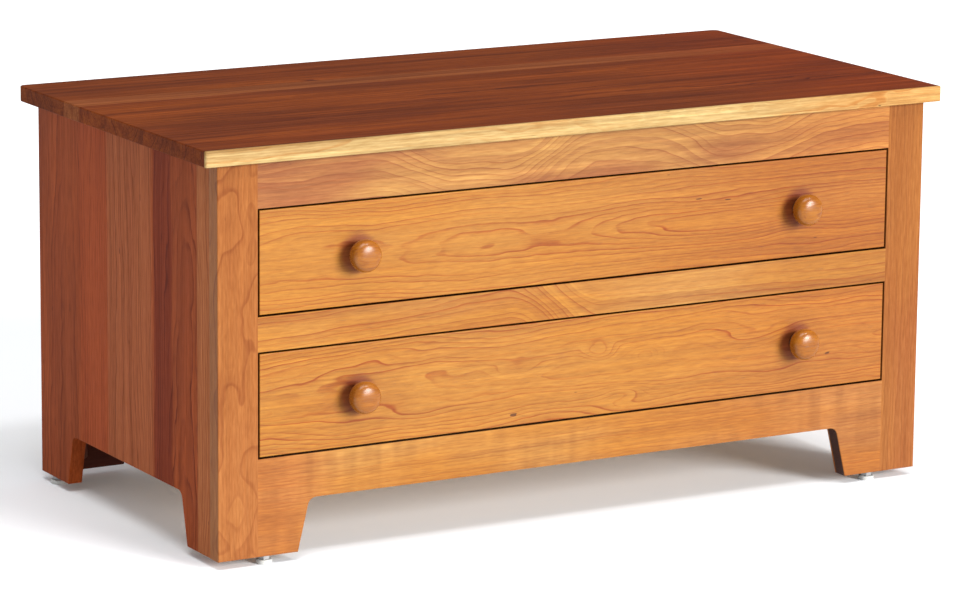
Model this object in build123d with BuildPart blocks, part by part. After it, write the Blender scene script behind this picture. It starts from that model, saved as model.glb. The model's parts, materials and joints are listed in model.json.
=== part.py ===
"""Two-drawer cherry chest on bracket feet.

A face frame of stiles and rails stands in front of two solid side panels. Behind it, three rear
rails, runners, guides and kickers carry two dovetailed drawers with turned knobs. Four screw
levellers stand under the feet.

Millimetres. +X is the chest's right as seen from the front, +Y points to its back, +Z is up. The
origin is on the floor, under the centre of the chest's overall box.
"""

import math
import os

from build123d import *

# Overall sizes
CASE_WIDTH = 1016
CASE_DEPTH = 511
CASE_HEIGHT = 485  # from the bottom of the feet to the underside of the top
TOP_THICKNESS = 20
TOP_SIDE_OVERHANG = 20
TOP_FRONT_OVERHANG = 10
TOP_REAR_OVERHANG = 17
FOOT_Z = 11  # height of the wooden feet above the floor, on their levellers

# Boards
FRAME_THICKNESS = 22
SIDE_THICKNESS = 19
REAR_THICKNESS = 19
STILE_WIDTH = 53.5
BOTTOM_RAIL_HEIGHT = 121.5
MIDDLE_RAIL_HEIGHT = 43
OPENING_HEIGHT = 132
EASED_EDGE = 1.0
TOP_EASED_EDGE = 3
TOP_REAR_CORNER = 10

# Bracket feet: each gap between two feet is a trapezoid with rounded upper corners
FOOT_GAP_HEIGHT = 66
FOOT_GAP_RUN = 16  # how far each side of the gap leans in over its height
FOOT_GAP_RADIUS = 11
FRONT_FOOT_WIDTH = 108
SIDE_FRONT_FOOT_WIDTH = 85
SIDE_REAR_FOOT_WIDTH = 81

# Joints between boards
TENON_LENGTH = 28
TENON_THICKNESS = 8
TENON_SHOULDER = 8
STUB_LENGTH = 8  # stub tenons and tongues inside the case
STUB_THICKNESS = 7
DADO_DEPTH = 6
TONGUE_THICKNESS = 6
TONGUE_STOP = 20
STUB_SHOULDER = 2  # a stub tenon is this much narrower than its strip at each edge

# Back panel
BACK_THICKNESS = 6
BACK_RABBET = 9.5

# Frames that carry the drawers
WEB_THICKNESS = 20
WEB_REAR_DEPTH = 40
RUNNER_REACH = 26  # how far a runner reaches inside the drawer opening
KICKER_REACH = 16
GUIDE_HEIGHT = 25
GUIDE_CHAMFER = 2
STOP_SIZE = (12, 14, 22)

# Drawers
DRAWER_GAP = 2.5
DRAWER_LENGTH = 470
DRAWER_FRONT_THICKNESS = 20
DRAWER_SIDE_THICKNESS = 12
DRAWER_SIDE_HEIGHT = 124
DRAWER_BACK_DROP = 6  # the back stands this much lower than the sides
DRAWER_CLEARANCE = 0.3
BOTTOM_THICKNESS = 6
BOTTOM_HEIGHT = 12  # groove's height above the lower edge of the sides
GROOVE_DEPTH = 6
TAIL_LENGTH = 14
TAIL_WIDTH = 28
TAIL_SLOPE = 1 / 6
TAIL_COUNT = 3
TAIL_MARGIN = 3  # wood above and below the row of front tails
REAR_TAIL_WIDTH = 24

# Knobs
KNOB_X = 319
KNOB_RADIUS = 20
KNOB_PROJECTION = 32
KNOB_BASE_RADIUS = 11
KNOB_BASE_HEIGHT = 1.2
KNOB_NECK = (8.5, 6)  # radius of the waist and its distance from the drawer front
KNOB_SHOULDER = (16, 11)  # where the waist has flared out into the cap
KNOB_WIDEST = 18  # distance from the drawer front to the widest point of the cap
KNOB_BASE_SLOPE = (-0.6, 1)
KNOB_SHOULDER_SLOPE = (1, 0.42)
KNOB_SCREW_RADIUS = 2
KNOB_SCREW_DEPTH = 16

# Levellers
LEVELLER_FRONT_X = 441
LEVELLER_REAR_INSET = 30
PAD_RADIUS = 10
PAD_HEIGHT = 5.5
PAD_ROUND = 1.5
PAD_CHAMFER = 0.6
HEX_ACROSS = 13
THREAD_RADIUS = 4
STEM_TOP = 38
STEM_CHAMFER = 0.8
STEM_ROOM = 0.5  # radial room round the stem above its insert
STEM_HEADROOM = 2
INSERT_RADIUS = 5.5
INSERT_LENGTH = 15
SHANK_RADIUS = 3
SHANK_BOTTOM = 2

# Fasteners
FIT = 0.05  # radial clearance of every screw, insert and stem in its hole
SCREW_END_ROOM = 1  # how far a screw's tip stops short of the end of its hole
BUTTON_SIZE = (32, 30, 18)
BUTTON_X = (-300, 0, 300)
BUTTON_TONGUE_Z = 10  # centre of the tongue under the top
BUTTON_PLAY = 4  # room at each side of a button's tongue
SCREW_RADIUS = 2
BACK_SCREW_RADIUS = 1.5
BACK_SCREW_LENGTH = 18
BACK_EDGE_SCREW_Z = (190, 350, 425)
BACK_SCREW_INSET = 40
BACK_TOP_ROW = 20  # depth of the upper row of back screws under the top
LONG_ROW, SHORT_ROW = 5, 3  # how many back screws stand in a row
BUTTON_SCREW_BITE = 14  # how far a button's screw enters the top
BLOCK_SIZE = 30
BLOCK_Z = (20, 90)

# A pan-head screw's proportions, in radii of its shank
HEAD_RADIUS = 2
HEAD_HEIGHT = 1.1
HEAD_CROWN = 1.4
POINT_LENGTH = 1.5
RECESS_WIDTH = 0.8
RECESS_LENGTH = 2.4

# Derived places
HALF = CASE_WIDTH / 2
OPENING_HALF = HALF - STILE_WIDTH
SIDE_INNER = HALF - SIDE_THICKNESS
FACE_Y = (KNOB_PROJECTION - CASE_DEPTH - TOP_REAR_OVERHANG) / 2
FRAME_BACK_Y = FACE_Y + FRAME_THICKNESS
REAR_Y = FACE_Y + CASE_DEPTH
BACK_FRONT_Y = REAR_Y - BACK_THICKNESS
TOP_Z = FOOT_Z + CASE_HEIGHT
LOWER_OPENING_Z = FOOT_Z + BOTTOM_RAIL_HEIGHT
MIDDLE_RAIL_Z = LOWER_OPENING_Z + OPENING_HEIGHT
UPPER_OPENING_Z = MIDDLE_RAIL_Z + MIDDLE_RAIL_HEIGHT
TOP_RAIL_Z = UPPER_OPENING_Z + OPENING_HEIGHT
LOWER_REAR_FRONT_Y = REAR_Y - REAR_THICKNESS - WEB_REAR_DEPTH
MIDDLE_REAR_FRONT_Y = BACK_FRONT_Y - WEB_REAR_DEPTH
REAR_RAIL_FRONT_Y = BACK_FRONT_Y - REAR_THICKNESS
BACK_PANEL_Z = LOWER_OPENING_Z - BACK_RABBET
FRONT_LEVELLER_Y = FACE_Y + FRAME_THICKNESS / 2
REAR_LEVELLER_X = HALF - SIDE_THICKNESS / 2
REAR_LEVELLER_Y = REAR_Y - LEVELLER_REAR_INSET
LEVELLERS = {
    "front_left": (-LEVELLER_FRONT_X, FRONT_LEVELLER_Y),
    "front_right": (LEVELLER_FRONT_X, FRONT_LEVELLER_Y),
    "rear_left": (-REAR_LEVELLER_X, REAR_LEVELLER_Y),
    "rear_right": (REAR_LEVELLER_X, REAR_LEVELLER_Y),
}
SIDES = {"left": -1, "right": 1}
NEAR = 1  # margin for picking out edges by their place


def board(x, y, z, mode=Mode.ADD):
    """Adds a box to the part being built, from its lowest and highest x, y and z."""
    spans = [sorted(span) for span in (x, y, z)]
    with Locations(tuple(sum(span) / 2 for span in spans)):
        Box(*(high - low for low, high in spans), mode=mode)


def both(hand, low, high):
    """The x span from low to high, measured from the middle towards the left or right side."""
    return (hand * low, hand * high)


def rod(x, y, z, radius, length):
    """Adds a round rod standing on z to the part being built."""
    with Locations((x, y, z + length / 2)):
        Cylinder(radius, length)


def drill(x, y, z, radius, depth):
    """Cuts a round hole upwards from z."""
    with Locations((x, y, z + depth / 2)):
        Cylinder(radius, depth, mode=Mode.SUBTRACT)


def foot_gap(plane, width, thickness):
    """Cuts the gap between two feet, standing on the plane's x axis, through the board behind it."""
    lean = math.degrees(math.atan2(FOOT_GAP_HEIGHT, FOOT_GAP_RUN))
    with BuildSketch(plane) as gap:
        Trapezoid(width, FOOT_GAP_HEIGHT, lean, align=(Align.CENTER, Align.MIN))
        fillet(gap.vertices().group_by(Axis.Y)[-1], FOOT_GAP_RADIUS)
    extrude(gap.sketch, amount=-thickness, mode=Mode.SUBTRACT)


def leveller_hole(x, y):
    """Cuts the seat of a threaded insert and the room for the stem above it."""
    drill(x, y, FOOT_Z, INSERT_RADIUS + FIT, INSERT_LENGTH)
    drill(x, y, FOOT_Z, THREAD_RADIUS + STEM_ROOM, STEM_TOP - FOOT_Z + STEM_HEADROOM)


def save(solid, name):
    """Labels a finished piece and writes it."""
    solid.label = name
    export_step(solid, f"parts/{name}.step")


def back_screw_places():
    """Centres of the back panel's screws, as x and z."""
    inner = SIDE_INNER - BACK_SCREW_INSET
    rows = {
        TOP_Z - BACK_TOP_ROW: LONG_ROW,
        UPPER_OPENING_Z - WEB_THICKNESS / 2: SHORT_ROW,
        BACK_PANEL_Z + BACK_RABBET / 2: LONG_ROW,
    }
    places = []
    for z, count in rows.items():
        places += [(-inner + 2 * inner * i / (count - 1), z) for i in range(count)]
    edge = SIDE_INNER + BACK_RABBET / 2
    places += [(hand * edge, z) for hand in (-1, 1) for z in BACK_EDGE_SCREW_Z]
    return places


def cut_back_screws(places):
    """Cuts the holes of the back panel's screws, which run forwards from its rear face."""
    for x, z in places:
        with Locations(Location((x, REAR_Y - BACK_SCREW_LENGTH / 2, z), (90, 0, 0))):
            Cylinder(BACK_SCREW_RADIUS + FIT, BACK_SCREW_LENGTH, mode=Mode.SUBTRACT)


def make_top():
    """The top, overhanging the case on every side."""
    with BuildPart() as top_panel:
        board(
            (-HALF - TOP_SIDE_OVERHANG, HALF + TOP_SIDE_OVERHANG),
            (FACE_Y - TOP_FRONT_OVERHANG, REAR_Y + TOP_REAR_OVERHANG),
            (TOP_Z, TOP_Z + TOP_THICKNESS),
        )
        upright = top_panel.edges().filter_by(Axis.Z).sort_by(Axis.Y)
        fillet(upright[2:], TOP_REAR_CORNER)
        fillet(upright[:2], TOP_EASED_EDGE)
        rims = top_panel.edges().group_by(Axis.Z)
        fillet(rims[0] + rims[-1], TOP_EASED_EDGE / 2)
        for x, y in button_places():
            drill(x, y, TOP_Z, SCREW_RADIUS + FIT, BUTTON_SCREW_BITE)
    save(top_panel.part, "top_panel")


def make_side(name, hand):
    """A side panel, with its front tongue, dados, back rabbet and the gap between its feet."""
    outer, inner = HALF, SIDE_INNER
    middle = (outer + inner) / 2
    with BuildPart() as side:
        board(both(hand, inner, outer), (FRAME_BACK_Y, REAR_Y), (FOOT_Z, TOP_Z))
        gap_width = CASE_DEPTH - SIDE_FRONT_FOOT_WIDTH - SIDE_REAR_FOOT_WIDTH
        gap_y = FACE_Y + SIDE_FRONT_FOOT_WIDTH + gap_width / 2
        origin = (hand * outer, gap_y, FOOT_Z)
        plane = Plane(origin=origin, x_dir=(0, hand, 0), z_dir=(hand, 0, 0))
        foot_gap(plane, gap_width, SIDE_THICKNESS)
        outside = side.faces().sort_by(Axis.X)[-1 if hand > 0 else 0]
        free = outside.edges().filter_by(lambda edge: edge.center().Y > FRAME_BACK_Y + NEAR)
        fillet(free, EASED_EDGE)
        board(
            both(hand, middle - TONGUE_THICKNESS / 2, middle + TONGUE_THICKNESS / 2),
            (FRAME_BACK_Y - STUB_LENGTH, FRAME_BACK_Y),
            (FOOT_Z + TONGUE_STOP, TOP_Z - TONGUE_STOP),
        )
        dado = both(hand, inner, inner + DADO_DEPTH)
        lower_web = (LOWER_OPENING_Z - WEB_THICKNESS, LOWER_OPENING_Z)
        middle_web = (UPPER_OPENING_Z - WEB_THICKNESS, UPPER_OPENING_Z)
        board(dado, (FRAME_BACK_Y, REAR_Y - REAR_THICKNESS), lower_web, Mode.SUBTRACT)
        board(dado, (FRAME_BACK_Y, BACK_FRONT_Y), middle_web, Mode.SUBTRACT)
        rabbet = both(hand, inner, inner + BACK_RABBET)
        board(rabbet, (BACK_FRONT_Y, REAR_Y), (BACK_PANEL_Z, TOP_Z), Mode.SUBTRACT)
        mortise = both(hand, inner, inner + STUB_LENGTH)
        board(mortise, *rear_apron_stub(), Mode.SUBTRACT)
        board(mortise, *rear_top_stub(), Mode.SUBTRACT)
        leveller_hole(hand * REAR_LEVELLER_X, REAR_LEVELLER_Y)
        cut_back_screws([place for place in back_screw_places() if place[0] * hand > SIDE_INNER])
    save(side.part, name)


def rear_apron_stub():
    """The y and z spans of the rear apron's stub tenons."""
    middle = REAR_Y - REAR_THICKNESS / 2
    y = (middle - STUB_THICKNESS / 2, middle + STUB_THICKNESS / 2)
    return y, (FOOT_Z + TENON_SHOULDER, BACK_PANEL_Z - TENON_SHOULDER)


def rear_top_stub():
    """The y and z spans of the rear top rail's stub tenons."""
    middle = REAR_RAIL_FRONT_Y + REAR_THICKNESS / 2
    y = (middle - STUB_THICKNESS / 2, middle + STUB_THICKNESS / 2)
    return y, (TOP_RAIL_Z + TENON_SHOULDER, TOP_Z - TENON_SHOULDER)


RAILS = {
    "bottom_rail": (FOOT_Z, LOWER_OPENING_Z),
    "middle_rail": (MIDDLE_RAIL_Z, UPPER_OPENING_Z),
    "top_rail": (TOP_RAIL_Z, TOP_Z),
}
TENON_Y = (
    FACE_Y + (FRAME_THICKNESS - TENON_THICKNESS) / 2,
    FACE_Y + (FRAME_THICKNESS + TENON_THICKNESS) / 2,
)


def make_stile(name, hand):
    """A stile, mortised for the three rails and grooved for the side panel's tongue."""
    middle = HALF - SIDE_THICKNESS / 2
    with BuildPart() as stile:
        board(both(hand, OPENING_HALF, HALF), (FACE_Y, FRAME_BACK_Y), (FOOT_Z, TOP_Z))
        front_edges = stile.edges().filter_by(Axis.Z).sort_by(Axis.Y)[:2]
        outer = front_edges.sort_by(Axis.X)[-1 if hand > 0 else 0]
        foot = stile.faces().sort_by(Axis.Z)[0].edges().sort_by(Axis.Y)[0]
        fillet([outer, foot], EASED_EDGE)
        for low, high in RAILS.values():
            span = (low + TENON_SHOULDER, high - TENON_SHOULDER)
            mortise = both(hand, OPENING_HALF, OPENING_HALF + TENON_LENGTH)
            board(mortise, TENON_Y, span, Mode.SUBTRACT)
        board(
            both(hand, middle - TONGUE_THICKNESS / 2, middle + TONGUE_THICKNESS / 2),
            (FRAME_BACK_Y - STUB_LENGTH, FRAME_BACK_Y),
            (FOOT_Z + TONGUE_STOP, TOP_Z - TONGUE_STOP),
            Mode.SUBTRACT,
        )
    save(stile.part, name)


def rail_body(name):
    """Adds a rail with its two long tenons to the part being built."""
    low, high = RAILS[name]
    board((-OPENING_HALF, OPENING_HALF), (FACE_Y, FRAME_BACK_Y), (low, high))
    reach = OPENING_HALF + TENON_LENGTH
    board((-reach, reach), TENON_Y, (low + TENON_SHOULDER, high - TENON_SHOULDER))


def web_stub(hand, z_middle):
    """The x and z spans of the stub tenon at each end of a runner or kicker."""
    x = both(hand, OPENING_HALF - KICKER_REACH + STUB_SHOULDER, OPENING_HALF - STUB_SHOULDER)
    return x, (z_middle - STUB_THICKNESS / 2, z_middle + STUB_THICKNESS / 2)


def cut_rail_stubs(z_middle):
    """Cuts a rail's back for the stub tenons of a runner or kicker at each side."""
    for hand in SIDES.values():
        x, z = web_stub(hand, z_middle)
        board(x, (FRAME_BACK_Y - STUB_LENGTH, FRAME_BACK_Y), z, Mode.SUBTRACT)


def make_rails():
    """The three rails of the face frame."""
    with BuildPart() as bottom_rail:
        rail_body("bottom_rail")
        plane = Plane(origin=(0, FACE_Y, FOOT_Z), x_dir=(1, 0, 0), z_dir=(0, -1, 0))
        foot_gap(plane, CASE_WIDTH - 2 * FRONT_FOOT_WIDTH, FRAME_THICKNESS)
        face = bottom_rail.faces().filter_by(Axis.Y).sort_by(Axis.Y)[0]
        under = face.edges().filter_by(lambda edge: edge.center().Z < LOWER_OPENING_Z - NEAR)
        free = under.filter_by(lambda edge: abs(edge.center().X) < OPENING_HALF - NEAR)
        fillet(free, EASED_EDGE)
        cut_rail_stubs(LOWER_OPENING_Z - WEB_THICKNESS / 2)
        for x in (-LEVELLER_FRONT_X, LEVELLER_FRONT_X):
            leveller_hole(x, FRONT_LEVELLER_Y)
    save(bottom_rail.part, "bottom_rail")

    with BuildPart() as middle_rail:
        rail_body("middle_rail")
        cut_rail_stubs(UPPER_OPENING_Z - WEB_THICKNESS / 2)
    save(middle_rail.part, "middle_rail")

    with BuildPart() as top_rail:
        rail_body("top_rail")
        cut_rail_stubs(TOP_RAIL_Z + WEB_THICKNESS / 2)
        cut_button_mortises(FRAME_BACK_Y, -1)
    save(top_rail.part, "top_rail")


def make_rear():
    """The rear apron, the rear rails and the back panel."""
    rear_centre = Plane(origin=(0, REAR_Y, FOOT_Z), x_dir=(-1, 0, 0), z_dir=(0, 1, 0))
    with BuildPart() as rear_apron:
        y = (REAR_Y - REAR_THICKNESS, REAR_Y)
        board((-SIDE_INNER, SIDE_INNER), y, (FOOT_Z, LOWER_OPENING_Z))
        reach = SIDE_INNER + STUB_LENGTH
        board((-reach, reach), *rear_apron_stub())
        foot_gap(rear_centre, CASE_WIDTH - 2 * FRONT_FOOT_WIDTH, REAR_THICKNESS)
        board(
            (-SIDE_INNER, SIDE_INNER),
            (BACK_FRONT_Y, REAR_Y),
            (BACK_PANEL_Z, LOWER_OPENING_Z),
            Mode.SUBTRACT,
        )
        cut_back_screws(back_screw_places())
    save(rear_apron.part, "rear_apron")

    with BuildPart() as rear_top_rail:
        y = (REAR_RAIL_FRONT_Y, BACK_FRONT_Y)
        board((-SIDE_INNER, SIDE_INNER), y, (TOP_RAIL_Z, TOP_Z))
        board((-reach, reach), *rear_top_stub())
        cut_button_mortises(REAR_RAIL_FRONT_Y, 1)
        for hand in SIDES.values():
            x, z = web_stub(hand, TOP_RAIL_Z + WEB_THICKNESS / 2)
            board(x, (REAR_RAIL_FRONT_Y, REAR_RAIL_FRONT_Y + STUB_LENGTH), z, Mode.SUBTRACT)
        cut_back_screws(back_screw_places())
    save(rear_top_rail.part, "rear_top_rail")

    web_rails = {
        "rear_lower_rail": (LOWER_REAR_FRONT_Y, LOWER_OPENING_Z),
        "rear_middle_rail": (MIDDLE_REAR_FRONT_Y, UPPER_OPENING_Z),
    }
    for name, (front_y, top) in web_rails.items():
        with BuildPart() as rear_rail:
            width = SIDE_INNER + DADO_DEPTH
            y = (front_y, front_y + WEB_REAR_DEPTH)
            board((-width, width), y, (top - WEB_THICKNESS, top))
            for hand in SIDES.values():
                x, z = web_stub(hand, top - WEB_THICKNESS / 2)
                board(x, (front_y, front_y + STUB_LENGTH), z, Mode.SUBTRACT)
            if name == "rear_middle_rail":
                cut_back_screws(back_screw_places())
        save(rear_rail.part, name)

    with BuildPart() as back_panel:
        edge = SIDE_INNER + BACK_RABBET
        board((-edge, edge), (BACK_FRONT_Y, REAR_Y), (BACK_PANEL_Z, TOP_Z))
        cut_back_screws(back_screw_places())
    save(back_panel.part, "back_panel")


def make_web_strips(side_name, hand):
    """One side's runners, kickers and guides."""
    runners = {
        f"lower_runner_{side_name}": (LOWER_REAR_FRONT_Y, LOWER_OPENING_Z),
        f"middle_runner_{side_name}": (MIDDLE_REAR_FRONT_Y, UPPER_OPENING_Z),
    }
    for name, (rear_y, top) in runners.items():
        with BuildPart() as runner:
            x = both(hand, OPENING_HALF - RUNNER_REACH, SIDE_INNER + DADO_DEPTH)
            board(x, (FRAME_BACK_Y, rear_y), (top - WEB_THICKNESS, top))
            stub_x, stub_z = web_stub(hand, top - WEB_THICKNESS / 2)
            board(stub_x, (FRAME_BACK_Y - STUB_LENGTH, rear_y + STUB_LENGTH), stub_z)
        save(runner.part, name)

    with BuildPart() as lower_kicker:
        x = both(hand, OPENING_HALF - KICKER_REACH, SIDE_INNER)
        z = (MIDDLE_RAIL_Z, UPPER_OPENING_Z - WEB_THICKNESS)
        board(x, (FRAME_BACK_Y, MIDDLE_REAR_FRONT_Y), z)
    save(lower_kicker.part, f"lower_kicker_{side_name}")

    with BuildPart() as upper_kicker:
        board(x, (FRAME_BACK_Y, REAR_RAIL_FRONT_Y), (TOP_RAIL_Z, TOP_RAIL_Z + WEB_THICKNESS))
        stub_x, stub_z = web_stub(hand, TOP_RAIL_Z + WEB_THICKNESS / 2)
        board(stub_x, (FRAME_BACK_Y - STUB_LENGTH, REAR_RAIL_FRONT_Y + STUB_LENGTH), stub_z)
    save(upper_kicker.part, f"upper_kicker_{side_name}")

    guides = {
        f"lower_guide_{side_name}": (LOWER_REAR_FRONT_Y, LOWER_OPENING_Z),
        f"upper_guide_{side_name}": (MIDDLE_REAR_FRONT_Y, UPPER_OPENING_Z),
    }
    for name, (rear_y, bottom) in guides.items():
        with BuildPart() as guide:
            x = both(hand, OPENING_HALF, SIDE_INNER)
            board(x, (FRAME_BACK_Y, rear_y), (bottom, bottom + GUIDE_HEIGHT))
            inner = guide.edges().filter_by(Axis.Y).group_by(Axis.Z)[-1]
            chamfer(inner.sort_by(Axis.X)[0 if hand > 0 else -1], GUIDE_CHAMFER)
        save(guide.part, name)


def make_corner_blocks():
    """Glue blocks inside the four corners, behind the feet."""
    spans = {
        "front": (FRAME_BACK_Y, FRAME_BACK_Y + BLOCK_SIZE),
        "rear": (REAR_Y - REAR_THICKNESS - BLOCK_SIZE, REAR_Y - REAR_THICKNESS),
    }
    for end, y in spans.items():
        for side_name, hand in SIDES.items():
            with BuildPart() as block:
                x = both(hand, SIDE_INNER - BLOCK_SIZE, SIDE_INNER)
                board(x, y, [FOOT_Z + z for z in BLOCK_Z])
                upright = block.edges().filter_by(Axis.Z)
                free = upright.sort_by_distance((0, 0, FOOT_Z + BLOCK_Z[0]))[0]
                chamfer(free, BLOCK_SIZE / 2)
            save(block.part, f"corner_block_{end}_{side_name}")


def button_places():
    """Centres of the screws that hold the top to its buttons, as x and y."""
    front = FRAME_BACK_Y + BUTTON_SIZE[1] / 2
    rear = REAR_RAIL_FRONT_Y - BUTTON_SIZE[1] / 2
    return [(x, y) for y in (front, rear) for x in BUTTON_X]


def button_tongue(wall_y, into):
    """The y and z spans of a button's tongue, which reaches into the wall at wall_y."""
    z = TOP_Z - BUTTON_TONGUE_Z
    y = (wall_y, wall_y + into * STUB_LENGTH)
    return y, (z - STUB_THICKNESS / 2, z + STUB_THICKNESS / 2)


def cut_button_mortises(wall_y, into):
    """Cuts a rail for the tongues of its three buttons."""
    for x in BUTTON_X:
        width = BUTTON_SIZE[0] / 2 + BUTTON_PLAY
        board((x - width, x + width), *button_tongue(wall_y, into), Mode.SUBTRACT)


def make_buttons():
    """Wooden buttons that let the top move with the seasons, and their screws."""
    with BuildPart() as top_buttons:
        for x, y in button_places():
            front = y < 0
            wall_y = FRAME_BACK_Y if front else REAR_RAIL_FRONT_Y
            half_x, half_y = BUTTON_SIZE[0] / 2, BUTTON_SIZE[1] / 2
            across = (x - half_x, x + half_x)
            board(across, (y - half_y, y + half_y), (TOP_Z - BUTTON_SIZE[2], TOP_Z))
            board(across, *button_tongue(wall_y, -1 if front else 1))
            drill(x, y, TOP_Z - BUTTON_SIZE[2], SCREW_RADIUS + FIT, BUTTON_SIZE[2])
    save(top_buttons.part, "top_buttons")

    places = [Location((x, y, TOP_Z - BUTTON_SIZE[2])) for x, y in button_places()]
    length = BUTTON_SIZE[2] + BUTTON_SCREW_BITE - SCREW_END_ROOM
    make_screws("top_button_screws", places, SCREW_RADIUS, length)


def wood_screw(radius, length):
    """A pan-head screw with a cross recess, its shank above the origin and its head below it."""
    head_radius = HEAD_RADIUS * radius
    head_height = HEAD_HEIGHT * radius
    recess = (RECESS_LENGTH * radius, RECESS_WIDTH * radius, RECESS_WIDTH * radius)
    with BuildPart() as screw:
        with BuildSketch(Plane.XZ):
            with BuildLine():
                Polyline(
                    (0, length),
                    (radius, length - POINT_LENGTH * radius),
                    (radius, 0),
                    (head_radius, 0),
                    (head_radius, -head_height / 2),
                    (HEAD_CROWN * radius, -head_height),
                    (0, -head_height),
                    close=True,
                )
            make_face()
        revolve(axis=Axis.Z)
        with Locations((0, 0, -head_height)):
            Box(*recess, mode=Mode.SUBTRACT)
            Box(*recess, rotation=(0, 0, 90), mode=Mode.SUBTRACT)
    return screw.part


def make_screws(name, places, radius, length):
    """One group of identical screws, each running up from its place's own origin."""
    screw = wood_screw(radius, length)
    with BuildPart() as screws:
        with Locations(*places):
            add(screw)
    save(screws.part, name)


def make_back_screws():
    """The screws that hold the back panel."""
    places = [Location((x, REAR_Y, z), (90, 0, 0)) for x, z in back_screw_places()]
    length = BACK_SCREW_LENGTH - SCREW_END_ROOM
    make_screws("back_panel_screws", places, BACK_SCREW_RADIUS, length)


def make_drawer_stops():
    """Blocks that stop each drawer when its front is flush with the face frame."""
    width, depth, height = STOP_SIZE
    front_y = FACE_Y + DRAWER_LENGTH + DRAWER_CLEARANCE
    with BuildPart() as drawer_stops:
        for bottom in (LOWER_OPENING_Z, UPPER_OPENING_Z):
            for hand in SIDES.values():
                x = both(hand, OPENING_HALF - DRAWER_GAP - width, OPENING_HALF - DRAWER_GAP)
                board(x, (front_y, front_y + depth), (bottom, bottom + height))
    save(drawer_stops.part, "drawer_stops")


def tail_centres(low, high, count):
    """Evenly spaced centres of count tails between two heights."""
    pitch = (high - low) / count
    return [low + pitch * (i + 0.5) for i in range(count)]


def tails(hand, root_y, tip_y, centres, width, mode=Mode.ADD):
    """Adds or cuts the tails of a drawer side, which widen from root_y to tip_y."""
    outer = OPENING_HALF - DRAWER_GAP
    flare = TAIL_SLOPE * abs(tip_y - root_y)
    low_x = outer - DRAWER_SIDE_THICKNESS if hand > 0 else -outer
    for z in centres:
        with BuildSketch(Plane.YZ.offset(low_x)) as tail:
            with BuildLine():
                Polyline(
                    (root_y, z - width / 2 + flare),
                    (tip_y, z - width / 2),
                    (tip_y, z + width / 2),
                    (root_y, z + width / 2 - flare),
                    close=True,
                )
            make_face()
        extrude(tail.sketch, amount=DRAWER_SIDE_THICKNESS, mode=mode)


class Drawer:
    """The places of one drawer, from the height of its opening's bottom."""

    def __init__(self, opening_z):
        self.bottom = opening_z + DRAWER_CLEARANCE
        self.top = self.bottom + DRAWER_SIDE_HEIGHT
        self.front_z = (opening_z + DRAWER_GAP, opening_z + OPENING_HEIGHT - DRAWER_GAP)
        self.knob_z = opening_z + OPENING_HEIGHT / 2
        self.half = OPENING_HALF - DRAWER_GAP
        self.inner = self.half - DRAWER_SIDE_THICKNESS
        self.front_back_y = FACE_Y + DRAWER_FRONT_THICKNESS
        self.tail_tip_y = self.front_back_y - TAIL_LENGTH
        self.rear_y = FACE_Y + DRAWER_LENGTH
        self.back_front_y = self.rear_y - DRAWER_SIDE_THICKNESS
        groove = self.bottom + BOTTOM_HEIGHT
        self.groove_z = (groove, groove + BOTTOM_THICKNESS)
        self.back_z = (self.groove_z[1], self.top - DRAWER_BACK_DROP)
        tail_span = (self.front_z[0] + TAIL_MARGIN, self.top - TAIL_MARGIN)
        self.front_tails = tail_centres(*tail_span, TAIL_COUNT)
        self.rear_tails = tail_centres(*self.back_z, TAIL_COUNT)
        self.bottom_half = self.inner + GROOVE_DEPTH
        self.bottom_y = (self.front_back_y - GROOVE_DEPTH, self.rear_y)


def make_drawer_side(drawer, name, hand):
    """A drawer side, with tails at both ends and a groove for the bottom."""
    x = both(hand, drawer.inner, drawer.half)
    with BuildPart() as side:
        board(x, (drawer.front_back_y, drawer.back_front_y), (drawer.bottom, drawer.top))
        board(x, (drawer.back_front_y, drawer.rear_y), (drawer.bottom, drawer.back_z[0]))
        board(x, (drawer.back_front_y, drawer.rear_y), (drawer.back_z[1], drawer.top))
        tails(hand, drawer.front_back_y, drawer.tail_tip_y, drawer.front_tails, TAIL_WIDTH)
        tails(hand, drawer.back_front_y, drawer.rear_y, drawer.rear_tails, REAR_TAIL_WIDTH)
        groove = both(hand, drawer.inner, drawer.bottom_half)
        board(groove, drawer.bottom_y, drawer.groove_z, Mode.SUBTRACT)
        upper = side.faces().filter_by(Axis.Z).sort_by(Axis.Z)[-1].edges().filter_by(Axis.Y)
        fillet(upper, 2 * EASED_EDGE)
    save(side.part, name)


def make_drawer_front(drawer, name):
    """A drawer front, with dovetail sockets, a groove for the bottom and holes for the knob screws."""
    with BuildPart() as front:
        board((-drawer.half, drawer.half), (FACE_Y, drawer.front_back_y), drawer.front_z)
        fillet(front.faces().sort_by(Axis.Y)[0].edges(), EASED_EDGE)
        sockets = (drawer.front_back_y, drawer.tail_tip_y, drawer.front_tails, TAIL_WIDTH)
        for hand in SIDES.values():
            tails(hand, *sockets, Mode.SUBTRACT)
        groove = (-drawer.bottom_half, drawer.bottom_half)
        board(groove, drawer.bottom_y, drawer.groove_z, Mode.SUBTRACT)
        middle_y = FACE_Y + DRAWER_FRONT_THICKNESS / 2
        for x in (-KNOB_X, KNOB_X):
            with Locations(Location((x, middle_y, drawer.knob_z), (90, 0, 0))):
                Cylinder(KNOB_SCREW_RADIUS + FIT, DRAWER_FRONT_THICKNESS, mode=Mode.SUBTRACT)
    save(front.part, name)


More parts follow.
